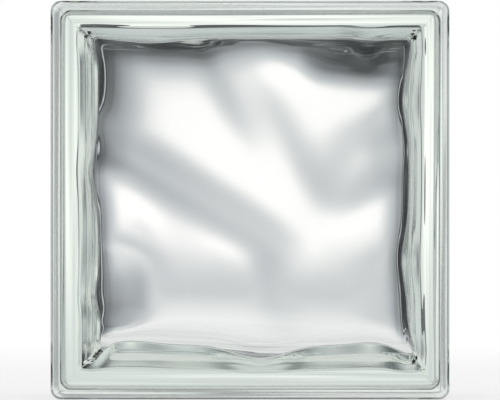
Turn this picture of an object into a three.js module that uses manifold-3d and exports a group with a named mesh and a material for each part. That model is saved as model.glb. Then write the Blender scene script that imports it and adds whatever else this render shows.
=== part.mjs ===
// Hollow glass block, 190 x 190 x 80 mm, with soft waves pressed into the inside of both faces.
//
// A block of this kind is two shallow glass dishes. Each is pressed between a mould, which gives
// the smooth face, the flange round it and half of the mortar channel, and a plunger, which gives
// the cavity and its waves. The two rims are heated, pressed together and fuse at mid depth.
//
// Millimetres, +Z up. The block stands on the lower edges of its flanges, with its front face
// towards -Y and the origin under its middle.
import * as THREE from "three";
import { mergeVertices } from "three/addons/utils/BufferGeometryUtils.js";
import Module from "manifold-3d";

// Outside
const FACE_SIZE = 190; // edge of the square face
const BLOCK_DEPTH = 80; // front face to back face
const OUTLINE_RADIUS = 5; // corner of the flange, seen from the front
const RIM_RADIUS = 1.4; // rounding from the face to the flange's land
const LAND_WIDTH = 7; // flat edge of the flange, which the block stands on
const LIP_RADIUS = 0.8; // rounding from the land to the back of the flange
const CHANNEL_DEPTH = 5; // mortar channel, below the land
const CHANNEL_FILLET = 0.8; // between the channel's floor and the back of the flange
const CHANNEL_RADIUS = 3.5; // corner of the channel's floor
const WELD_HEIGHT = 0.8; // bead where the halves fused, above the channel's floor
const WELD_WIDTH = 7; // bead's width, over both halves

// Inside
const WALL = 6.5; // side wall where the halves meet
const FACE_THICKNESS = 7; // thickness of the glass behind the face, apart from the waves
const DRAFT = THREE.MathUtils.degToRad(14); // taper of the plunger's sides
const CAVITY_FILLET = 1; // rounding from the side wall to the inside of the face
const CAVITY_CORNER = 1.5; // upright corner of the cavity
const WAVE_HEIGHT = 2.5; // rise or dip of a full wave
const SWELL_HEIGHT = 4.5; // how much thicker the glass grows at a side with a full swell
const SWELL_WIDTH = 5; // how softly it does so
const BOW_HEIGHT = 2.5; // how far a full bow moves the side of the cavity outwards
const PATTERN_SIZE = 190; // face that the places in the pattern below are given for

// Facets
const OUTLINE_ARC_STEPS = 7;
const EDGE_STEPS = 4;
const WELD_STEPS = 4;
const FACE_RINGS = 19;
const FILLET_RINGS = 5;
const SIDE_RINGS = 2;

const HALF_DEPTH = BLOCK_DEPTH / 2;
const CHANNEL_HALF = FACE_SIZE / 2 - CHANNEL_DEPTH;
const CAVITY_HALF = CHANNEL_HALF - WALL;
const CAVITY_DEPTH = HALF_DEPTH - FACE_THICKNESS;
const PLUNGER_CLEARANCE = 1; // how far the plunger stands out of the dish, to cut its rim cleanly

// The pattern of each face, as seen from the front of the block. Places are in millimetres from
// the middle of the face, across and up.
//
// A wave is raised glass, or hollowed glass where its rise is below 0, inside some soft edges. An
// edge is a point on it, the way out of the wave in degrees round from +X, and its softness.
//
// Towards each side of the cavity the glass swells, and the side itself bows in and out: a bow is
// its place along the side, its half width, and how far it goes outwards.
const FRONT_PATTERN = {
  waves: [
    { rise: -0.92, edges: [[-16, 5, 61, 7], [17, -30, 0, 9], [-30, -14, 252, 11]] },
    { rise: -0.8, edges: [[-45, 0, 0, 14], [-16, 5, 61, 7], [-30, -14, 252, 13]] },
    { rise: 0.88, edges: [[0, -19, 90, 10]] },
    { rise: 0.2, edges: [[0, -47, 90, 9]] },
    { rise: 0.36, edges: [[14, 42, 208, 8], [40, 0, -90, 10], [56, 10, -45, 10], [30, 64, 90, 10]] },
    { rise: 0.64, edges: [[53, 8, -48, 9], [44, 10, 180, 14], [60, 30, 90, 12]] },
    { rise: 0.64, edges: [[-13, 52, 208, 7], [-5, 36, -60, 13], [0, 60, 30, 12]] },
    { rise: 0.8, edges: [[50, 61.5, -96, 4], [30, 70, 180, 7]] },
    { rise: -0.6, edges: [[0, 70, -90, 9], [-20, 0, 180, 7], [14, 0, 0, 7]] },
    { rise: 1.2, edges: [[-60, -40, 0, 9], [-60, -30, 90, 8], [-60, -57, -90, 5]] },
    { rise: 0.4, edges: [[61, -40, 180, 10], [60, -33, 90, 8], [60, -57, -90, 6]] },
    { rise: 1.0, edges: [[-63, 50, 0, 9], [-60, 22, -90, 8]] },
    { rise: 0.52, edges: [[65, 24, 180, 7], [66, 10, -90, 8], [66, 38, 90, 8]] },
  ],
  left: {
    swell: 0.07,
    softness: 1,
    outset: -1.08,
    bows: [
      [76, 8, 1.12], [14, 14, 1.16], [-24, 10, -0.16],
      [-45, 7, 0.48], [-61, 8, -0.48], [-76, 6, -0.72],
    ],
  },
  right: {
    swell: 0.07,
    softness: 1,
    outset: 0,
    bows: [[73, 8, 0.68], [47, 12, -0.88], [12, 20, 0.32], [-29, 13, -1.08], [-73, 10, 1.2]],
  },
  top: {
    swell: 0.11,
    softness: 1.4,
    outset: 0.8,
    bows: [[-47, 16, -0.76], [47, 7, 0.36], [60, 7, -0.24], [-75, 6, 0.24]],
  },
  bottom: {
    swell: 0.07,
    softness: 1.2,
    outset: -1.76,
    bows: [[9, 17, 1.68], [-57, 14, -0.6], [55, 9, -0.28], [76, 9, 1.44], [-76, 6, 0.8]],
  },
};
const BACK_PATTERN = {
  waves: [
    { rise: -0.92, edges: [[-16, -8, 61, 7], [13, -30, 0, 10], [-30, -20, 248, 10]] },
    { rise: -0.8, edges: [[-45, 0, 0, 14], [-16, -8, 61, 7], [-30, -20, 248, 13]] },
    { rise: 0.88, edges: [[0, -22, 90, 10]] },
    { rise: 0.2, edges: [[0, -49, 90, 9]] },
    { rise: 0.28, edges: [[16, 40, 208, 8], [40, 1, -90, 11], [58, 10, -45, 11], [30, 64, 90, 10]] },
    { rise: 0.64, edges: [[55, 7, -48, 10], [46, 10, 180, 14], [60, 30, 90, 12]] },
    { rise: 0.72, edges: [[50, 60, -96, 4], [30, 70, 180, 7]] },
    { rise: -0.6, edges: [[0, 70, -90, 9], [-20, 0, 180, 7], [14, 0, 0, 7]] },
    { rise: 1.2, edges: [[-60, -42, 0, 10], [-60, -32, 90, 8], [-60, -57, -90, 5]] },
    { rise: 0.4, edges: [[60, -40, 180, 10], [60, -31, 90, 8], [60, -57, -90, 5]] },
    { rise: 0.88, edges: [[-63, 50, 0, 9], [-60, 20, -90, 8]] },
    { rise: 0.48, edges: [[67, 24, 180, 7], [66, 10, -90, 8], [66, 38, 90, 8]] },
    { rise: 0.32, edges: [[8, -36, 180, 7], [22, -36, 0, 8], [0, -26, 90, 7], [0, -54, -90, 8]] },
  ],
  left: {
    swell: 0.8,
    softness: 1,
    outset: -0.48,
    bows: [[74, 8, 0.4], [13, 14, 1.04], [-45, 8, 0.24], [-61, 8, -0.4]],
  },
  right: {
    swell: 0.76,
    softness: 1,
    outset: -0.12,
    bows: [[73, 8, 0.68], [47, 12, -0.72], [12, 20, 0.32], [-29, 13, -0.8], [-73, 10, 0.96]],
  },
  top: {
    swell: 1.78,
    softness: 1.4,
    outset: 0.92,
    bows: [[-47, 16, -0.4], [48, 10, -0.32], [-74, 6, 0.24]],
  },
  bottom: {
    swell: 0.44,
    softness: 1,
    outset: -1.2,
    bows: [[9, 17, 1.2], [-57, 14, -0.56], [55, 14, -0.32], [76, 8, 0.96]],
  },
};

const wasm = await Module();
wasm.setup();

// A solid from vertices and the triangles between them.
function solid(vertices, triangles) {
  return new wasm.Manifold(
    new wasm.Mesh({
      numProp: 3,
      vertProperties: new Float32Array(vertices),
      triVerts: new Uint32Array(triangles),
    }),
  );
}

// The points of a rounded square at one depth, in order round the depth axis from its +X +Z corner.
function roundedSquare(half, radius, depth) {
  const points = [];
  for (let corner = 0; corner < 4; corner++) {
    const turn = (corner * Math.PI) / 2;
    for (let i = 0; i <= OUTLINE_ARC_STEPS; i++) {
      const angle = turn + (i / OUTLINE_ARC_STEPS) * (Math.PI / 2);
      const p = new THREE.Vector2(half - radius, half - radius);
      p.rotateAround(new THREE.Vector2(0, 0), turn);
      points.push(
        new THREE.Vector3(
          p.x + radius * Math.cos(angle),
          depth,
          p.y + radius * Math.sin(angle),
        ),
      );
    }
  }
  return points;
}

// A solid through rings of points that follow each other along +Y, closed at both ends to a centre.
function loft(rings) {
  const count = rings[0].length;
  const centres = [rings[0], rings[rings.length - 1]].map((ring) =>
    ring.reduce((sum, p) => sum.add(p), new THREE.Vector3()).divideScalar(count),
  );
  const vertices = [...rings.flat(), ...centres];
  const [firstCentre, lastCentre] = [vertices.length - 2, vertices.length - 1];
  const lastRing = (rings.length - 1) * count;
  const triangles = [];
  for (let i = 0; i < count; i++) {
    const next = (i + 1) % count;
    for (let r = 0; r < rings.length - 1; r++) {
      const [a, b] = [r * count + i, r * count + next];
      const [c, d] = [a + count, b + count];
      triangles.push([a, c, b], [b, c, d]);
    }
    triangles.push([firstCentre, i, next], [lastCentre, lastRing + next, lastRing + i]);
  }
  return solid(vertices.flatMap((p) => [p.x, p.y, p.z]), triangles.flat());
}

// What the mould gives: weld bead, channel, flange and face, from the rim of the dish out.
function mouldBody() {
  const rings = [];
  for (let i = 0; i <= WELD_STEPS; i++) {
    const share = i / WELD_STEPS;
    const rise = (WELD_HEIGHT * (1 + Math.cos(Math.PI * share))) / 2;
    rings.push(
      roundedSquare(CHANNEL_HALF + rise, CHANNEL_RADIUS + rise, (share * WELD_WIDTH) / 2),
    );
  }
  const flangeBack = HALF_DEPTH - RIM_RADIUS - LAND_WIDTH - LIP_RADIUS;
  for (let i = 0; i <= EDGE_STEPS; i++) {
    const angle = (i / EDGE_STEPS) * (Math.PI / 2);
    const rise = CHANNEL_FILLET * (1 - Math.cos(angle));
    const depth = flangeBack - CHANNEL_FILLET * (1 - Math.sin(angle));
    rings.push(roundedSquare(CHANNEL_HALF + rise, CHANNEL_RADIUS + rise, depth));
  }
  for (let i = 0; i <= EDGE_STEPS; i++) {
    const angle = (i / EDGE_STEPS) * (Math.PI / 2);
    const inset = LIP_RADIUS * (1 - Math.sin(angle));
    const depth = flangeBack + LIP_RADIUS * (1 - Math.cos(angle));
    rings.push(roundedSquare(FACE_SIZE / 2 - inset, OUTLINE_RADIUS - inset, depth));
  }
  for (let i = 0; i <= EDGE_STEPS; i++) {
    const angle = (i / EDGE_STEPS) * (Math.PI / 2);
    const inset = RIM_RADIUS * (1 - Math.cos(angle));
    const depth = HALF_DEPTH - RIM_RADIUS * (1 - Math.sin(angle));
    rings.push(roundedSquare(FACE_SIZE / 2 - inset, OUTLINE_RADIUS - inset, depth));
  }
  return loft(rings);
}

// The plunger's section: how far out and how deep each ring of its skin lies, from the middle of
// its face to the rim of the dish, and how much of the bows it takes part in.
function plungerSection() {
  const arcDepth = CAVITY_DEPTH - CAVITY_FILLET;
  const arcHalf =
    CAVITY_HALF - (CAVITY_FILLET + arcDepth * Math.sin(DRAFT)) / Math.cos(DRAFT);
  const section = [];
  for (let i = 0; i <= FACE_RINGS; i++) {
    const share = i / FACE_RINGS;
    section.push({ half: arcHalf * share, depth: CAVITY_DEPTH, bowing: share ** 3 });
  }
  for (let i = 1; i <= FILLET_RINGS; i++) {
    const angle = THREE.MathUtils.lerp(Math.PI / 2, DRAFT, i / FILLET_RINGS);
    section.push({
      half: arcHalf + CAVITY_FILLET * Math.cos(angle),
      depth: arcDepth + CAVITY_FILLET * Math.sin(angle),
      bowing: 1,
    });
  }
  const shoulder = section[section.length - 1];
  for (let i = 1; i <= SIDE_RINGS; i++) {
    const share = i / SIDE_RINGS;
    section.push({
      half: THREE.MathUtils.lerp(shoulder.half, CAVITY_HALF, share),
      depth: shoulder.depth * (1 - share),
      bowing: 1 - share,
    });
  }
  return { rings: section, faceHalf: arcHalf };
}

// 1 well inside a soft edge, 0 well beyond it.
function inside(beyond, softness) {
  return 1 / (1 + Math.exp((2 * beyond) / softness));
}

// How much thicker the waves make the face at a point of it.
function waveRise(waves, x, z) {
  const scale = FACE_SIZE / PATTERN_SIZE;
  let rise = 0;
  for (const wave of waves) {
    let share = wave.rise;
    for (const [edgeX, edgeZ, facing, softness] of wave.edges) {
      const angle = THREE.MathUtils.degToRad(facing);
      const beyond =
        (x / scale - edgeX) * Math.cos(angle) + (z / scale - edgeZ) * Math.sin(angle);
      share *= inside(beyond, softness);
    }
    rise += share;
  }
  return WAVE_HEIGHT * rise;
}

// How far a side of the cavity bows out at a place along it.
function bow(side, along) {
  const scale = FACE_SIZE / PATTERN_SIZE;
  let share = side.outset;
  for (const [place, width, height] of side.bows) {
    share += height * Math.exp(-(((along / scale - place) / width) ** 2));
  }
  return BOW_HEIGHT * share;
}

// A point of the plunger's skin, column and row steps from the middle of its square grid.
function plungerPoint(pattern, section, column, row) {
  const ring = section.rings[Math.max(Math.abs(column), Math.abs(row))];
  const steps = Math.max(Math.abs(column), Math.abs(row), 1);
  let x = (column / steps) * ring.half;
  let z = (row / steps) * ring.half;
  const radius = Math.min(CAVITY_CORNER, ring.half / 3);
  const straight = ring.half - radius;
  if (Math.abs(x) > straight && Math.abs(z) > straight) {
    const out = Math.hypot(Math.abs(x) - straight, Math.abs(z) - straight) / radius;
    x = Math.sign(x) * (straight + (Math.abs(x) - straight) / out);
    z = Math.sign(z) * (straight + (Math.abs(z) - straight) / out);
  }
  const swell = (side, out) =>
    SWELL_HEIGHT * side.swell * inside(section.faceHalf - out, SWELL_WIDTH * side.softness);
  const swells =
    swell(pattern.left, -x) +
    swell(pattern.right, x) +
    swell(pattern.top, z) +
    swell(pattern.bottom, -z);
  const [acrossSide, uprightSide] = [
    column > 0 ? pattern.right : pattern.left,
    row > 0 ? pattern.top : pattern.bottom,
  ];
  const acrossBow = bow(acrossSide, z) * ring.bowing * (Math.abs(column) / steps) ** 6;
  const uprightBow = bow(uprightSide, x) * ring.bowing * (Math.abs(row) / steps) ** 6;
  x += Math.sign(column) * acrossBow;
  z += Math.sign(row) * uprightBow;
  const rise = waveRise(pattern.waves, x, z) + swells;
  return new THREE.Vector3(x, ring.depth * (1 - rise / CAVITY_DEPTH), z);
}

// What the plunger gives: the tapered cavity with the pattern on its face. It starts as a box, and
// the box's +Y face is pressed to shape. A dish that is turned round has the pattern turned too.
function plunger(pattern, turned) {
  const section = plungerSection();
  const rings = section.rings.length - 1;
  const cells = 2 * rings;
  const box = new THREE.BoxGeometry(cells, 1, cells, cells, 1, cells);
  box.deleteAttribute("normal");
  box.deleteAttribute("uv");
  const skin = mergeVertices(box);
  const places = skin.getAttribute("position");
  const sense = turned ? -1 : 1;
  const p = new THREE.Vector3();
  for (let i = 0; i < places.count; i++) {
    p.fromBufferAttribute(places, i);
    if (p.y > 0) {
      p.copy(plungerPoint(pattern, section, Math.round(sense * p.x), Math.round(p.z)));
      p.x *= sense;
    } else {
      const foot = (CAVITY_HALF + PLUNGER_CLEARANCE * Math.tan(DRAFT)) / rings;
      p.set(p.x * foot, -PLUNGER_CLEARANCE, p.z * foot);
    }
    places.setXYZ(i, p.x, p.y, p.z);
  }
  return solid(places.array, skin.index.array);
}

const glass = new THREE.MeshStandardMaterial({
  color: new THREE.Color(0.86, 0.92, 0.88),
  roughness: 0.03,
  metalness: 0,
});

// One pressed dish, with its rim on the plane y = 0 and its face towards +Y.
function pressedHalf(name, pattern, turned) {
  const shape = mouldBody().subtract(plunger(pattern, turned)).getMesh();
  const geometry = new THREE.BufferGeometry();
  geometry.setAttribute("position", new THREE.BufferAttribute(shape.vertProperties, 3));
  geometry.setIndex(new THREE.BufferAttribute(shape.triVerts, 1));
  const half = new THREE.Mesh(mergeVertices(geometry), glass);
  half.geometry.computeVertexNormals();
  half.name = name;
  half.rotation.z = turned ? Math.PI : 0;
  return half;
}

const block = new THREE.Group();
block.add(pressedHalf("front_half", FRONT_PATTERN, true));
block.add(pressedHalf("back_half", BACK_PATTERN, false));
block.position.z = FACE_SIZE / 2;

export default block;
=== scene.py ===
import math

import bmesh
import bpy
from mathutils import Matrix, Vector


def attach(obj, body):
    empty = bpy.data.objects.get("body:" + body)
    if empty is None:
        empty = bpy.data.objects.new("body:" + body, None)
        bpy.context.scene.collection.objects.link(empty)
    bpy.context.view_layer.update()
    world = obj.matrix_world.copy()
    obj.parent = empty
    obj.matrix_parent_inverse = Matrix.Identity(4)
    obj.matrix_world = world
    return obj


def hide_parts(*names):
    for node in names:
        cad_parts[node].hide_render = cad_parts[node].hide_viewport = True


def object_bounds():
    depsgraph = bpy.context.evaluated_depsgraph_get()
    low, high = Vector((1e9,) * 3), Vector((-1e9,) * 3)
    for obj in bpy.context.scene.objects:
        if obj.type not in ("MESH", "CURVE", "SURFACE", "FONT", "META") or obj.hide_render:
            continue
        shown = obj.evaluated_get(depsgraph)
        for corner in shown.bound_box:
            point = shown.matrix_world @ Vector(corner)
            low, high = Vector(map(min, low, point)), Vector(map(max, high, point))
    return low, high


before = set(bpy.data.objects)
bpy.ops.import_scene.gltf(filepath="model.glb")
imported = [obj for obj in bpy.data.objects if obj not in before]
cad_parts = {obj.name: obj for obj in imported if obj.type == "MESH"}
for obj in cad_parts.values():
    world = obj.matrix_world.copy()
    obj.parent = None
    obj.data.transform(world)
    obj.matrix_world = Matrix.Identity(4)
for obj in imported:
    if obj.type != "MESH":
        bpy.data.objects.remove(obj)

# --- Camera ---------------------------------------------------------------------------------
# Stands square in front of the block, level with its middle and far enough off that the sides
# of the block barely taper. The picture takes in the face and some air to its left and right.
MM = 0.001
CAMERA_DISTANCE = 2.5
SENSOR_WIDTH = 0.036
PICTURE_WIDTH_IN_FACES = 500 / 399

solids_low, solids_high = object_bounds()
middle = (solids_low + solids_high) / 2
face_size = solids_high.x - solids_low.x
block_depth = solids_high.y - solids_low.y
picture_width = face_size * PICTURE_WIDTH_IN_FACES

camera_data = bpy.data.cameras.new("camera")
camera_data.lens = 1000 * SENSOR_WIDTH * CAMERA_DISTANCE / picture_width
camera = bpy.data.objects.new("camera", camera_data)
camera.location = (middle.x, solids_low.y - CAMERA_DISTANCE, middle.z)
camera.rotation_euler = (math.radians(90), 0, 0)
bpy.context.collection.objects.link(camera)
bpy.context.scene.camera = camera
bpy.context.scene.view_settings.view_transform = "Standard"


# --- Floor ----------------------------------------------------------------------------------
# A sheet of matt white card that fades out into the white of the tent, so that it has no far
# edge. It takes the block's shadow, and shows in the glass as bright as it looks from outside.
FLOOR_SIZE = 4
FLOOR_GAP = 0.2 * MM  # keeps the card's surface apart from the foot of the block
CARD_WHITE = (0.9, 0.9, 0.9, 1)
CARD_ROUGHNESS = 0.9
FLOOR_GLOW_SHARE = 0.7
FLOOR_FADE_START = 0.25
FLOOR_FADE_END = 0.9
FLOOR_FADE_IN_GLASS = 3.5  # how much nearer the card fades out where the glass shows it


def sums(tree, operation, *values):
    """One step of arithmetic on numbers and on other nodes' outputs."""
    node = tree.nodes.new("ShaderNodeMath")
    node.operation = operation
    for socket, value in zip(node.inputs, values):
        if isinstance(value, (int, float)):
            socket.default_value = value
        else:
            tree.links.new(value, socket)
    return node.outputs["Value"]


def soft_step(tree, value, start, end, low=0.0, high=1.0):
    """From low to high, in a smooth step, as the value goes from start to end."""
    node = tree.nodes.new("ShaderNodeMapRange")
    node.interpolation_type = "SMOOTHSTEP"
    tree.links.new(value, node.inputs["Value"])
    node.inputs["From Min"].default_value = start
    node.inputs["From Max"].default_value = end
    node.inputs["To Min"].default_value = low
    node.inputs["To Max"].default_value = high
    return node.outputs["Result"]


bpy.ops.object.select_all(action="DESELECT")
bpy.ops.mesh.primitive_plane_add(
    size=FLOOR_SIZE, location=(middle.x, middle.y, solids_low.z - FLOOR_GAP)
)
floor = bpy.context.object
floor.name = "floor"

card = bpy.data.materials.new("white_card")
card.use_nodes = True
tree = card.node_tree
matt = tree.nodes["Principled BSDF"]
matt.inputs["Base Color"].default_value = CARD_WHITE
matt.inputs["Roughness"].default_value = CARD_ROUGHNESS
glow = tree.nodes.new("ShaderNodeEmission")
light_path = tree.nodes.new("ShaderNodeLightPath")
seen = sums(tree, "MAXIMUM", light_path.outputs["Is Camera Ray"],
            light_path.outputs["Is Transmission Ray"])
seen = sums(tree, "MAXIMUM", seen, light_path.outputs["Is Glossy Ray"])
lit_card = tree.nodes.new("ShaderNodeMixShader")
tree.links.new(sums(tree, "MULTIPLY", seen, FLOOR_GLOW_SHARE), lit_card.inputs[0])
tree.links.new(matt.outputs["BSDF"], lit_card.inputs[1])
tree.links.new(glow.outputs["Emission"], lit_card.inputs[2])

place = tree.nodes.new("ShaderNodeTexCoord")
distance = tree.nodes.new("ShaderNodeVectorMath")
distance.operation = "LENGTH"
tree.links.new(place.outputs["Object"], distance.inputs[0])
less_in_air = sums(tree, "MULTIPLY", light_path.outputs["Is Camera Ray"], FLOOR_FADE_IN_GLASS - 1)
reach = sums(tree, "MULTIPLY", distance.outputs["Value"],
             sums(tree, "SUBTRACT", FLOOR_FADE_IN_GLASS, less_in_air))
gone = tree.nodes.new("ShaderNodeBsdfTransparent")
faded_card = tree.nodes.new("ShaderNodeMixShader")
tree.links.new(soft_step(tree, reach, FLOOR_FADE_START, FLOOR_FADE_END), faded_card.inputs[0])
tree.links.new(lit_card.outputs["Shader"], faded_card.inputs[1])
tree.links.new(gone.outputs["BSDF"], faded_card.inputs[2])
tree.links.new(faded_card.outputs["Shader"], tree.nodes["Material Output"].inputs["Surface"])
floor.data.materials.append(card)


# --- Light tent -----------------------------------------------------------------------------
# A tent of white cloth, lit from behind the block. Its back wall is brightest right behind the
# block and falls off to the dark of the room. Further round, a strip of lit cloth stands on each
# side and low down and the roof is dimly lit; the tent's open front is bright again.
TENT_STRENGTH = 1.5
TENT_ON_CARD = (0.9, 0.9, 0.9, 1)
TENT_IN_AIR = (1, 1, 1, 1)
LEAST_SIDEWAYS = 0.0001  # keeps straight behind the block from dividing by nothing

# Brightness by the angle from straight behind the block, in degrees, as rays meet it that the
# glass has only bent.
BACK_WALL = [(0, 1.2), (1.2, 1.2), (2, 1.03), (3, 0.85), (4, 0.74), (6, 0.63), (8, 0.54),
             (10, 0.44), (13, 0.31), (16, 0.19), (19, 0.1)]
TO_LEFT = BACK_WALL + [(22, 0.07), (28, 0.1), (32, 0.4), (35, 0.65), (39, 0.7), (49, 0.7),
                       (52, 0.3), (54.5, 0.02), (100, 0.04), (180, 0.1)]
TO_RIGHT = BACK_WALL + [(22, 0.07), (28, 0.1), (32, 0.4), (36, 0.7), (51, 0.7), (55, 0.2),
                        (58, 0.02), (100, 0.04), (180, 0.1)]
UPWARD = BACK_WALL + [(20, 0.06), (28, 0.08), (46, 0.08), (52, 0.02), (74, 0.03), (82, 0.5),
                      (100, 0.5), (108, 0.04), (180, 0.07)]
LOW_STRIP = [(33, 0.6), (37, 0.7), (50, 0.7), (56, 0.6), (61, 0.2), (180, 0.1)]
DOWNWARD = [(0, 1.2), (0.25, 1.06), (0.6, 0.98), (1.1, 0.93), (1.6, 0.85), (2.1, 0.78), (2.6, 0.72),
            (4.4, 0.72), (5, 0.8), (6, 0.88), (7.5, 0.95), (9, 1.0), (14, 0.95), (19, 0.5),
            (22, 0.1), (29, 0.1)] + LOW_STRIP
# The same four ways, as rays meet them that the sides of the glass have thrown back.
LEFT_THROWN_BACK = BACK_WALL + [(22, 0.12), (28, 0.2), (32, 0.5), (36, 0.8), (52, 0.8),
                                (56, 0.4), (60, 0.02), (100, 0.04), (180, 0.1)]
RIGHT_THROWN_BACK = BACK_WALL + [(22, 0.2), (28, 0.6), (34, 0.95), (53, 0.95), (58, 0.5),
                                 (62, 0.02), (100, 0.04), (180, 0.1)]
UP_THROWN_BACK = BACK_WALL[:7] + [(10, 0.5), (20, 0.4), (27, 0.7), (58, 0.8), (64, 0.3),
                                  (70, 0.03), (82, 0.5), (100, 0.5), (108, 0.04), (180, 0.07)]
DOWN_THROWN_BACK = BACK_WALL[:5] + [(6, 0.45), (9, 0.15), (28, 0.08)] + LOW_STRIP
# The open sides and front of the tent, for rays that nothing has thrown back. They take over from
# the walls between these two angles, so that the block is clear from the side and from behind.
OPEN_FROM = 62
OPEN_FULLY = 82
OPEN_SIDES = [(60, 0.03), (80, 0.6), (90, 0.9), (110, 0.7), (150, 0.6), (168, 0.55), (173, 0.68),
              (177, 0.9), (180, 1.1)]
# Colour by brightness: the darker parts of the room are a little bluer than the lit cloth.
ROOM_COLOURS = [(0, (0, 0, 0)), (0.1, (0.093, 0.1, 0.105)), (0.4, (0.385, 0.403, 0.42)),
                (0.6, (0.593, 0.6, 0.602)), (0.8, (0.805, 0.797, 0.787)), (1, (1, 0.99, 0.98))]


def colour_steps(tree, value, steps):
    """The colour at a value from 0 to 1, out of steps given as positions and colours."""
    node = tree.nodes.new("ShaderNodeValToRGB")
    tree.links.new(value, node.inputs["Fac"])
    while len(node.color_ramp.elements) < len(steps):
        node.color_ramp.elements.new(0.5)
    for element, (position, colour) in zip(node.color_ramp.elements, steps):
        element.position = position
        element.color = (*colour, 1)
    return node.outputs["Color"]


def mixed(tree, share, a, b):
    """Colour a where the share is 0, and colour b where it is 1."""
    node = tree.nodes.new("ShaderNodeMix")
    node.data_type = "RGBA"
    for name, value in (("Factor", share), ("A", a), ("B", b)):
        if isinstance(value, tuple):
            node.inputs[name].default_value = value
        else:
            tree.links.new(value, node.inputs[name])
    return node.outputs["Result"]


tent = bpy.data.worlds.new("light_tent")
bpy.context.scene.world = tent
tent.use_nodes = True
tree = tent.node_tree
direction = tree.nodes.new("ShaderNodeTexCoord")
apart = tree.nodes.new("ShaderNodeSeparateXYZ")
tree.links.new(direction.outputs["Generated"], apart.inputs[0])
to_right, to_back, upward = apart.outputs
off_axis = sums(tree, "DIVIDE", sums(tree, "ARCCOSINE", to_back), math.pi)
sideways = sums(tree, "SQRT", sums(tree, "ADD", sums(tree, "MULTIPLY", to_right, to_right),
                                   sums(tree, "MULTIPLY", upward, upward)))
sideways = sums(tree, "MAXIMUM", sideways, LEAST_SIDEWAYS)
right_share = sums(tree, "MULTIPLY_ADD", sums(tree, "DIVIDE", to_right, sideways), 0.5, 0.5)
up_share = sums(tree, "DIVIDE", sums(tree, "MAXIMUM", upward, 0), sideways)
down_share = sums(tree, "DIVIDE", sums(tree, "MINIMUM", upward, 0), sideways)

walls = [
    colour_steps(tree, off_axis, [(angle / 180, (level, level, level)) for angle, level in wall])
    for wall in (TO_LEFT, TO_RIGHT, UPWARD, DOWNWARD, LEFT_THROWN_BACK, RIGHT_THROWN_BACK,
                 UP_THROWN_BACK, DOWN_THROWN_BACK, OPEN_SIDES)
]
light_path = tree.nodes.new("ShaderNodeLightPath")
thrown_back = sums(tree, "GREATER_THAN", light_path.outputs["Glossy Depth"], 0.5)
left, right, above, below = [
    mixed(tree, thrown_back, walls[side], walls[side + 4]) for side in range(4)
]
cloth = mixed(tree, right_share, left, right)
cloth = mixed(tree, sums(tree, "MULTIPLY", up_share, up_share), cloth, above)
cloth = mixed(tree, sums(tree, "MULTIPLY", down_share, down_share), cloth, below)
straight_through = sums(tree, "MULTIPLY", sums(tree, "SUBTRACT", 1, thrown_back),
                        soft_step(tree, off_axis, OPEN_FROM / 180, OPEN_FULLY / 180))
cloth = mixed(tree, straight_through, cloth, walls[8])
cloth = colour_steps(tree, sums(tree, "DIVIDE", cloth, TENT_STRENGTH), ROOM_COLOURS)

# Round the block, and on the card, the tent is one even white.
cloth = mixed(tree, light_path.outputs["Is Diffuse Ray"], cloth, TENT_ON_CARD)
cloth = mixed(tree, light_path.outputs["Is Camera Ray"], cloth, TENT_IN_AIR)
plain = sums(tree, "MAXIMUM", light_path.outputs["Is Camera Ray"],
             light_path.outputs["Is Diffuse Ray"])
tree.links.new(cloth, tree.nodes["Background"].inputs["Color"])
tree.links.new(sums(tree, "MULTIPLY_ADD", plain, 1 - TENT_STRENGTH, TENT_STRENGTH),
               tree.nodes["Background"].inputs["Strength"])


# --- Glass block ----------------------------------------------------------------------------
# A hollow block of soda-lime glass, 190 mm square and 80 mm deep. Two shallow dishes are pressed
# with a flange and half a mortar channel each, and their rims are fused at mid depth, where a
# low bead is left. The plungers leave the soft waves on the inside of both faces.
OUTLINE_RADIUS = 5 * MM
RIM_RADIUS = 1.4 * MM
LAND_WIDTH = 7 * MM
LIP_RADIUS = 0.8 * MM
CHANNEL_DEPTH = 5 * MM
CHANNEL_FILLET = 0.8 * MM
WELD_HEIGHT = 0.8 * MM
WELD_WIDTH = 7 * MM
WELD_STEPS = 4
FOOT_SHARE = 0.7  # of the channel's depth: nearer its floor is the foot, further out is the lip
SAME_PLACE = 0.01 * MM

half_face = face_size / 2
half_depth = block_depth / 2
channel_half = half_face - CHANNEL_DEPTH
flange_back = half_depth - RIM_RADIUS - LAND_WIDTH - LIP_RADIUS


def pick(kind, wanted):
    """Selects the edges or faces that are wanted, and nothing else."""
    bpy.ops.mesh.select_mode(type=kind)
    bpy.ops.mesh.select_all(action="DESELECT")
    mesh = bmesh.from_edit_mesh(bpy.context.object.data)
    for part in {"EDGE": mesh.edges, "FACE": mesh.faces}[kind]:
        if wanted(part):
            part.select_set(True)
    bmesh.update_edit_mesh(bpy.context.object.data)


def widen(share):
    """Scales what is selected, seen from the front."""
    bpy.ops.transform.resize(value=(share, 1, share), center_override=middle)


def out_from_middle(point):
    return max(abs(point.x - middle.x), abs(point.z - middle.z))


def runs_round(edge, depth, inner, outer):
    """Whether an edge lies this deep from the seam, between an inner and an outer square."""
    return all(
        abs(abs(v.co.y - middle.y) - depth) < SAME_PLACE and inner < out_from_middle(v.co) < outer
        for v in edge.verts
    )


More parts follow.
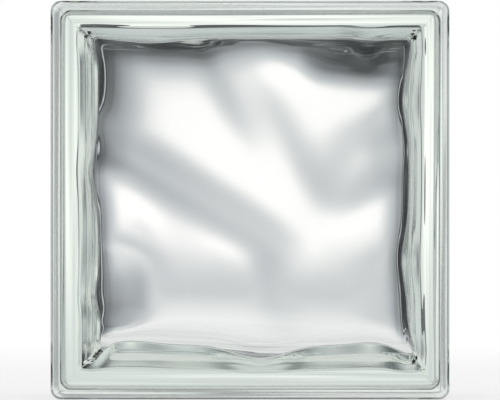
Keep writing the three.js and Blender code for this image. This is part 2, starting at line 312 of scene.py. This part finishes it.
# The outside: a slab, its corners rounded, cut behind both flanges and sunk between them.
bpy.ops.mesh.primitive_cube_add(size=1, location=middle, scale=(face_size, block_depth, face_size))
block = bpy.context.object
block.name = "glass_block"
bpy.ops.object.transform_apply(location=True, rotation=True, scale=True)
bpy.ops.object.mode_set(mode="EDIT")
pick("EDGE", lambda edge: abs(edge.verts[0].co.y - edge.verts[1].co.y) > half_depth)
bpy.ops.mesh.bevel(offset=OUTLINE_RADIUS, segments=10, affect="EDGES")
for depth in (-flange_back, flange_back):
    bpy.ops.mesh.select_all(action="SELECT")
    bpy.ops.mesh.bisect(plane_co=(0, middle.y + depth, 0), plane_no=(0, 1, 0))
pick("FACE", lambda face: (
    abs(face.normal.y) < 0.5 and abs(face.calc_center_median().y - middle.y) < flange_back
))
bpy.ops.mesh.extrude_region_move()
widen(channel_half / half_face)

# The bead where the two rims ran together.
bead_rings = [step / WELD_STEPS for step in range(-WELD_STEPS, WELD_STEPS + 1)]
for share in bead_rings:
    bpy.ops.mesh.select_all(action="SELECT")
    bpy.ops.mesh.bisect(plane_co=(0, middle.y + share * WELD_WIDTH / 2, 0), plane_no=(0, 1, 0))
for share in bead_rings[1:-1]:
    ring_y = middle.y + share * WELD_WIDTH / 2
    pick("EDGE", lambda edge: all(abs(v.co.y - ring_y) < SAME_PLACE for v in edge.verts))
    widen(1 + WELD_HEIGHT * (1 + math.cos(math.pi * share)) / 2 / channel_half)

# The mould's rounded edges: the foot and the lip of each flange, then the rims of the faces.
between = half_face - CHANNEL_DEPTH * FOOT_SHARE
pick("EDGE", lambda edge: runs_round(edge, flange_back, 0, between))
bpy.ops.mesh.bevel(offset=CHANNEL_FILLET, segments=6, affect="EDGES")
pick("EDGE", lambda edge: runs_round(edge, flange_back, between, face_size))
bpy.ops.mesh.bevel(offset=LIP_RADIUS, segments=4, affect="EDGES")
pick("EDGE", lambda edge: runs_round(edge, half_depth, 0, face_size))
bpy.ops.mesh.bevel(offset=RIM_RADIUS, segments=8, affect="EDGES")
bpy.ops.mesh.select_all(action="SELECT")
bpy.ops.mesh.normals_make_consistent(inside=False)
bpy.ops.object.mode_set(mode="OBJECT")

# The inside: each plunger's skin is a grid that is pressed to its tapered, waved shape. A wave is
# raised glass, or hollowed glass where its rise is below 0, inside some soft edges. An edge is a
# point on it, the way out of the wave in degrees round from +X, and its softness, all in mm.
WALL = 6.5 * MM
FACE_THICKNESS = 7 * MM
DRAFT = math.radians(13.9)
CAVITY_CORNER = 2.5 * MM
CAVITY_FILLET = {"front": 0.8 * MM, "back": 1.0 * MM}
PLUNGER_CELLS = 200
FACE_SHARE = 0.72  # of the grid, from its middle to its rim
FILLET_SHARE = 0.2
WAVES = {
    "front": [
        (-2.2, [(-16, 3, 59, 8), (17, -30, 0, 14), (0, -74, 270, 14)]),
        (-1.5, [(-35, 0, 0, 20), (-16, 3, 59, 8), (0, -74, 270, 14)]),
        (4.6, [(0, -68, 90, 24)]),
        (0.9, [(14, 42, 208, 8), (40, 0, -90, 10), (56, 10, -45, 10), (30, 64, 90, 10)]),
        (1.6, [(53, 8, -48, 9), (44, 10, 180, 14), (60, 30, 90, 12)]),
        (2.5, [(-13, 52, 208, 7), (3, 42, -60, 20), (8, 60, 30, 14)]),
        (1.45, [(50, 61, -96, 4.5), (30, 70, 180, 7)]),
        (1.3, [(50, 67.5, -92, 4.5), (34, 70, 180, 8)]),
        (-0.6, [(0, 70, -90, 9), (-20, 0, 180, 7), (14, 0, 0, 7)]),
        (4.0, [(-57, -40, 0, 11), (-60, -30, 90, 8), (-60, -58, -90, 5)]),
        (1.0, [(61, -40, 180, 10), (60, -33, 90, 8), (60, -57, -90, 6)]),
        (2.5, [(-63, 50, 0, 9), (-60, 22, -90, 8)]),
        (1.5, [(63, 24, 180, 8), (66, 10, -90, 8), (66, 38, 90, 8)]),
    ],
    "back": [
        (-2.2, [(-16, -9, 59, 8), (15, -30, 0, 14), (0, -75, 270, 14)]),
        (-1.5, [(-35, 0, 0, 20), (-16, -9, 59, 8), (0, -75, 270, 14)]),
        (4.6, [(0, -68, 90, 24)]),
        (0.7, [(16, 40, 208, 8), (40, 1, -90, 11), (58, 10, -45, 11), (30, 64, 90, 10)]),
        (1.6, [(55, 7, -48, 10), (46, 10, 180, 14), (60, 30, 90, 12)]),
        (1.45, [(50, 60, -96, 4.5), (30, 70, 180, 7)]),
        (1.3, [(50, 67, -92, 4.5), (34, 70, 180, 8)]),
        (-0.6, [(0, 70, -90, 9), (-20, 0, 180, 7), (14, 0, 0, 7)]),
        (4.0, [(-57, -42, 0, 11), (-60, -32, 90, 8), (-60, -58, -90, 5)]),
        (1.0, [(60, -40, 180, 10), (60, -31, 90, 8), (60, -57, -90, 5)]),
        (2.2, [(-63, 50, 0, 9), (-60, 20, -90, 8)]),
        (1.5, [(64, 24, 180, 8), (66, 10, -90, 8), (66, 38, 90, 8)]),
        (0.8, [(8, -36, 180, 7), (22, -36, 0, 8), (0, -26, 90, 7), (0, -54, -90, 8)]),
    ],
}
# How much the glass swells towards each side of the cavity, and how softly.
SWELLS = {
    "front": {"left": (0.3, 5), "right": (0.3, 5), "top": (0.5, 7), "bottom": (0.3, 6)},
    "back": {"left": (3.6, 5), "right": (3.4, 5), "top": (8.5, 8), "bottom": (2.0, 5)},
}
# How far each side of the cavity stands out, then its bows: place along it, width and height.
BOWS = {
    "front": {
        "left": (-2.7, [(76, 8, 2.8), (14, 14, 2.9), (-24, 10, -0.4), (-45, 7, 1.2),
                        (-61, 8, -1.2), (-76, 6, -1.8)]),
        "right": (0.0, [(73, 8, 1.7), (47, 12, -2.2), (12, 20, 0.8), (-29, 13, -2.7),
                        (-73, 10, 3.0)]),
        "top": (2.0, [(-47, 16, -1.9), (47, 7, 0.9), (60, 7, -0.6), (-75, 6, 0.6)]),
        "bottom": (-5.8, [(5, 18, 6.2), (-57, 14, -1.8), (57, 10, -1.2), (76, 9, 5.0),
                          (-76, 6, 3.4)]),
    },
    "back": {
        "left": (-1.2, [(74, 8, 1.0), (13, 14, 2.6), (-45, 8, 0.6), (-61, 8, -1.0)]),
        "right": (-0.3, [(73, 8, 1.7), (47, 12, -1.8), (12, 20, 0.8), (-29, 13, -2.0),
                         (-73, 10, 2.4)]),
        "top": (1.4, [(-40, 18, -2.4), (47, 7, 0.3), (57, 9, -3.6), (-74, 6, 0.6)]),
        "bottom": (-3.4, [(5, 18, 4.0), (-57, 14, -1.6), (57, 12, -1.0), (76, 8, 2.8),
                          (-76, 6, 1.0)]),
    },
}
BOW_AT_SEAM = 0.35  # what is left of a bow where the halves meet
BOW_TO_MIDDLE = 3  # the power that a bow dies away by, towards the middle of the face
BOW_TO_CORNER = 6  # and the power that it dies away by, round the corner of the cavity
MOST_BEYOND = 60  # keeps the exponential of a soft edge within bounds
NOT_NOTHING = 1e-9  # keeps the middle of the grid from dividing by nothing
WELD_WITHIN = 0.001 * MM  # joins the rims of the two skins

cavity_half = channel_half - WALL
cavity_depth = half_depth - FACE_THICKNESS


def inside(beyond, softness):
    """1 well inside a soft edge, a half on it and 0 well beyond it."""
    return 1 / (1 + math.exp(min(2 * beyond / softness, MOST_BEYOND)))


def wave_rise(waves, x, z):
    """How much glass the waves add at a place on the face, in mm."""
    total = 0
    for rise, edges in waves:
        for edge_x, edge_z, facing, softness in edges:
            way_out = math.radians(facing)
            beyond = (x - edge_x) * math.cos(way_out) + (z - edge_z) * math.sin(way_out)
            rise *= inside(beyond, softness)
        total += rise
    return total


def bow(half, side, along, down):
    """How far a side stands out at a place along it; the two halves come together at the seam.

    Down goes from 0, on the half's own fillet, to 1, at the seam.
    """
    out = {}
    for each in BOWS:
        stand_out, bows = BOWS[each][side]
        out[each] = stand_out + sum(
            height * math.exp(-(((along - spot) / width) ** 2)) for spot, width, height in bows
        )
    return (1 - down) * out[half] + down * BOW_AT_SEAM * (out["front"] + out["back"]) / 2


def plunger_section(share, fillet):
    """How far out and how deep the skin is, how much it bows and how far down the side it is.

    The share goes from 0, in the middle of the face, to 1, on the rim at the seam.
    """
    arc_depth = cavity_depth - fillet
    arc_half = cavity_half - (fillet + arc_depth * math.sin(DRAFT)) / math.cos(DRAFT)
    if share <= FACE_SHARE:
        return arc_half * share / FACE_SHARE, cavity_depth, (share / FACE_SHARE) ** BOW_TO_MIDDLE, 0
    turn = min((share - FACE_SHARE) / FILLET_SHARE, 1)
    angle = math.pi / 2 + (DRAFT - math.pi / 2) * turn
    out, depth = arc_half + fillet * math.cos(angle), arc_depth + fillet * math.sin(angle)
    if turn < 1:
        return out, depth, 1, 0
    down = (share - FACE_SHARE - FILLET_SHARE) / (1 - FACE_SHARE - FILLET_SHARE)
    return out + (cavity_half - out) * down, depth * (1 - down), 1, down


def plunger_point(half, across, up):
    """Where a point of the grid, from -1 to 1 both ways, goes on the skin of a half's cavity."""
    share = max(abs(across), abs(up), NOT_NOTHING)
    out, depth, bowing, down = plunger_section(share, CAVITY_FILLET[half])
    x, z = across / share * out, up / share * out
    corner = min(CAVITY_CORNER, out / 3)
    over_x, over_z = abs(x) - (out - corner), abs(z) - (out - corner)
    if over_x > 0 and over_z > 0:
        pull = corner / math.hypot(over_x, over_z)
        x = math.copysign(out - corner + over_x * pull, x)
        z = math.copysign(out - corner + over_z * pull, z)
    face_half = plunger_section(FACE_SHARE, CAVITY_FILLET[half])[0]
    swell = sum(
        height * inside((face_half - reach) / MM, softness)
        for (height, softness), reach in zip(SWELLS[half].values(), (-x, x, z, -z))
    )
    push_x = bow(half, "right" if across > 0 else "left", z / MM, down) * bowing
    push_z = bow(half, "top" if up > 0 else "bottom", x / MM, down) * bowing
    push_x *= abs(across / share) ** BOW_TO_CORNER
    push_z *= abs(up / share) ** BOW_TO_CORNER
    x += push_x * MM * (1 if across > 0 else -1)
    z += push_z * MM * (1 if up > 0 else -1)
    rise = wave_rise(WAVES[half], x / MM, z / MM) + swell
    return x, z, depth * (1 - rise * MM / cavity_depth)


skins = []
for half, towards in (("front", -1), ("back", 1)):
    bpy.ops.object.select_all(action="DESELECT")
    bpy.ops.mesh.primitive_grid_add(
        x_subdivisions=PLUNGER_CELLS, y_subdivisions=PLUNGER_CELLS, size=2
    )
    skin = bpy.context.object
    for vertex in skin.data.vertices:
        x, z, depth = plunger_point(half, vertex.co.x, vertex.co.y)
        vertex.co = (middle.x + x, middle.y + towards * depth, middle.z + z)
    skins.append(skin)
bpy.ops.object.select_all(action="DESELECT")
for skin in skins:
    skin.select_set(True)
bpy.ops.object.join()
cavity = bpy.context.object
bpy.ops.object.mode_set(mode="EDIT")
bpy.ops.mesh.select_all(action="SELECT")
bpy.ops.mesh.remove_doubles(threshold=WELD_WITHIN)
bpy.ops.mesh.normals_make_consistent(inside=True)
bpy.ops.object.mode_set(mode="OBJECT")

# One piece of glass, with the cavity sealed in it and its flat places kept flat.
bpy.ops.object.select_all(action="DESELECT")
cavity.select_set(True)
block.select_set(True)
bpy.context.view_layer.objects.active = block
bpy.ops.object.join()
bpy.ops.object.shade_smooth()
flats = block.modifiers.new("flats", "WEIGHTED_NORMAL")
bpy.ops.object.modifier_apply(modifier=flats.name)

# Clear glass of a faint green, with the long soft streaks that pressing leaves on its sides, and
# a channel left a little rough, so that mortar holds.
GLASS_INDEX = 1.52
GLASS_GREEN = (0.45, 0.8, 0.47, 1)
GREEN_PER_METRE = 2.5
STREAK_HEIGHT = 0.15 * MM
STREAK_SPACING = 3 * MM
STREAK_DEPTH_SPACING = 5 * MM
STREAK_LENGTH = 160 * MM
STREAK_DETAIL = 0.5
STREAK_SIDE_STEP = 7.3  # how far apart in the noise two sides are, so that none repeats another
CHANNEL_ROUGHNESS = 0.14
CHANNEL_GREEN = (0.95, 0.99, 0.955, 1)
WALL_ROUGHNESS = 0.05

# Where the streaks are, out from the middle of the face, and how strong: faint on the face, weak
# on the walls of the cavity, full on the sides and stronger again on the top and right flanges.
FACE_STREAKS = 0.02
SIDE_STREAKS_FROM = 70 * MM
SIDE_STREAKS_FULL = 75.5 * MM
WALL_STREAKS = 0.25
WALL_FROM = 74.5 * MM
MORE_FLANGE_STREAKS = 1
FLANGE_FROM = 78 * MM
CHANNEL_PAST_FOOT = 0.4 * MM
CHANNEL_SKIN = 1.5 * MM

glass = bpy.data.materials.new("clear_glass")
glass.use_nodes = True
tree = glass.node_tree
clear = tree.nodes["Principled BSDF"]
clear.inputs["IOR"].default_value = GLASS_INDEX
clear.inputs["Transmission Weight"].default_value = 1.0
thickness_colour = tree.nodes.new("ShaderNodeVolumeAbsorption")
thickness_colour.inputs["Color"].default_value = GLASS_GREEN
thickness_colour.inputs["Density"].default_value = GREEN_PER_METRE
tree.links.new(thickness_colour.outputs["Volume"], tree.nodes["Material Output"].inputs["Volume"])

place = tree.nodes.new("ShaderNodeTexCoord")
centred = tree.nodes.new("ShaderNodeMapping")
centred.inputs["Location"].default_value = -middle
tree.links.new(place.outputs["Object"], centred.inputs["Vector"])
apart = tree.nodes.new("ShaderNodeSeparateXYZ")
tree.links.new(centred.outputs["Vector"], apart.inputs[0])
across, through, up = apart.outputs

# The nearest side: how far along it a point is, and its number, -1 or 1 for the left and right
# sides and -2 or 2 for the bottom and top.
across_out, up_out = sums(tree, "ABSOLUTE", across), sums(tree, "ABSOLUTE", up)
out = sums(tree, "MAXIMUM", across_out, up_out)
on_upright = sums(tree, "GREATER_THAN", across_out, up_out)
on_level = sums(tree, "SUBTRACT", 1, on_upright)
along = sums(tree, "ADD", sums(tree, "MULTIPLY", on_upright, up),
             sums(tree, "MULTIPLY", on_level, across))
which_side = sums(tree, "ADD", sums(tree, "MULTIPLY", on_upright, sums(tree, "SIGN", across)),
                  sums(tree, "MULTIPLY", on_level,
                       sums(tree, "MULTIPLY", sums(tree, "SIGN", up), 2)))
deep = sums(tree, "ABSOLUTE", through)

streak_place = tree.nodes.new("ShaderNodeCombineXYZ")
tree.links.new(sums(tree, "DIVIDE", out, STREAK_SPACING), streak_place.inputs["X"])
tree.links.new(sums(tree, "DIVIDE", through, STREAK_DEPTH_SPACING), streak_place.inputs["Y"])
tree.links.new(sums(tree, "MULTIPLY_ADD", which_side, STREAK_SIDE_STEP,
                    sums(tree, "DIVIDE", along, STREAK_LENGTH)),
               streak_place.inputs["Z"])
streaks = tree.nodes.new("ShaderNodeTexNoise")
streaks.inputs["Scale"].default_value = 1
streaks.inputs["Detail"].default_value = STREAK_DETAIL
tree.links.new(streak_place.outputs["Vector"], streaks.inputs["Vector"])

on_side = soft_step(tree, out, SIDE_STREAKS_FROM, SIDE_STREAKS_FULL, low=FACE_STREAKS)
on_wall = sums(tree, "MULTIPLY", sums(tree, "LESS_THAN", deep, half_depth - FACE_THICKNESS / 2),
               sums(tree, "MULTIPLY", sums(tree, "LESS_THAN", out, cavity_half + WALL / 2),
                    sums(tree, "GREATER_THAN", out, WALL_FROM)))
in_channel = sums(tree, "MULTIPLY", sums(tree, "LESS_THAN", deep, flange_back + CHANNEL_PAST_FOOT),
                  sums(tree, "GREATER_THAN", out, channel_half - CHANNEL_SKIN))
streak_level = sums(tree, "MULTIPLY", streaks.outputs["Fac"], on_side)
streak_level = sums(tree, "MULTIPLY", streak_level,
                    sums(tree, "MULTIPLY_ADD", on_wall, WALL_STREAKS - 1, 1))
on_flange = sums(tree, "MULTIPLY", sums(tree, "GREATER_THAN", deep, flange_back),
                 sums(tree, "GREATER_THAN", out, FLANGE_FROM))
top_or_right = sums(tree, "GREATER_THAN", sums(tree, "ADD", across, up), 0)
streak_level = sums(tree, "MULTIPLY", streak_level,
                    sums(tree, "MULTIPLY_ADD", sums(tree, "MULTIPLY", on_flange, top_or_right),
                         MORE_FLANGE_STREAKS, 1))
relief = tree.nodes.new("ShaderNodeBump")
relief.inputs["Distance"].default_value = STREAK_HEIGHT
tree.links.new(streak_level, relief.inputs["Height"])
tree.links.new(relief.outputs["Normal"], clear.inputs["Normal"])
tree.links.new(mixed(tree, in_channel, (1, 1, 1, 1), CHANNEL_GREEN), clear.inputs["Base Color"])
tree.links.new(sums(tree, "MULTIPLY_ADD", in_channel, CHANNEL_ROUGHNESS,
                    sums(tree, "MULTIPLY", on_wall, WALL_ROUGHNESS)),
               clear.inputs["Roughness"])
block.data.materials.clear()
block.data.materials.append(glass)

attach(block, "root")
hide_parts("front_half", "back_half")
